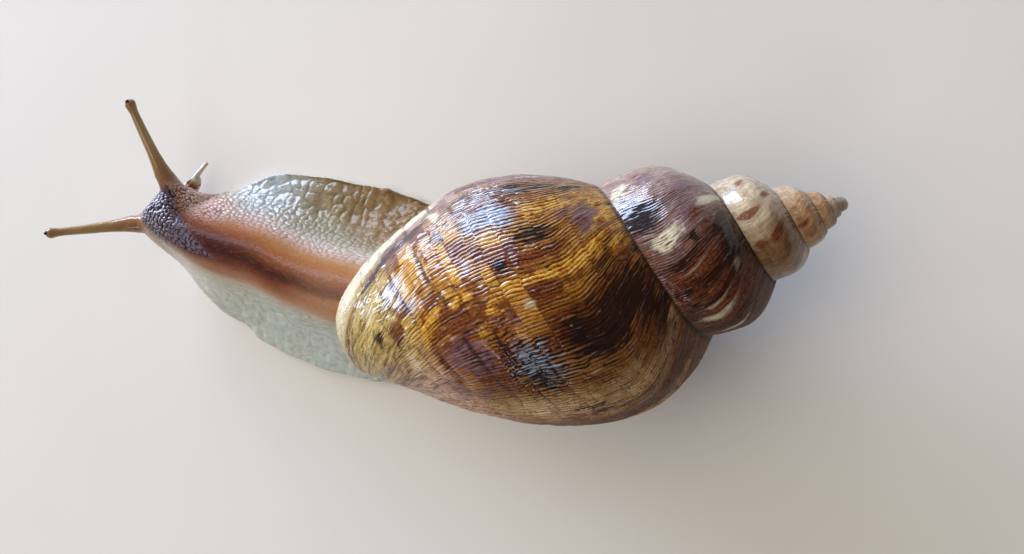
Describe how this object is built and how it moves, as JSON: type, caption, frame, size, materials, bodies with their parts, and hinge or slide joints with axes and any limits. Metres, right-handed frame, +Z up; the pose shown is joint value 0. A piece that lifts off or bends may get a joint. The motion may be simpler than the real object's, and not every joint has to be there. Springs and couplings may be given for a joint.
{
  "type": "giant african land snail",
  "caption": "Life-size giant land snail with a tall coiled striped shell, crawling on a flat sole with its head and feelers stretched out.",
  "frame": {"origin": "centre of the bounding box on the floor, under the sole", "axes": "+X from the head towards the tip of the shell, +Y to the snail's right, +Z up"},
  "size_m": [0.262, 0.1016, 0.0814],
  "materials": {
    "shell": "glossy natural shell, amber with dark brown streaks",
    "mantle": "moist tan flesh",
    "head_skin": "moist brown grained skin",
    "foot_skin": "moist pale grey-green pebbled skin",
    "feeler_skin": "moist smooth tan skin",
    "eye": "glossy dark eye spot"
  },
  "bodies": {
    "root": {"shell": "shell", "mantle_collar": "mantle", "head": "head_skin", "neck": "head_skin", "trunk": "foot_skin", "foot_front": "foot_skin", "foot_middle": "foot_skin", "foot_rear": "foot_skin", "tail_tip": "foot_skin", "upper_feeler_right": "feeler_skin", "upper_feeler_left": "feeler_skin", "lower_feeler_right": "feeler_skin", "lower_feeler_left": "feeler_skin", "eye_right": "eye", "eye_left": "eye"}
  },
  "joints": []
}
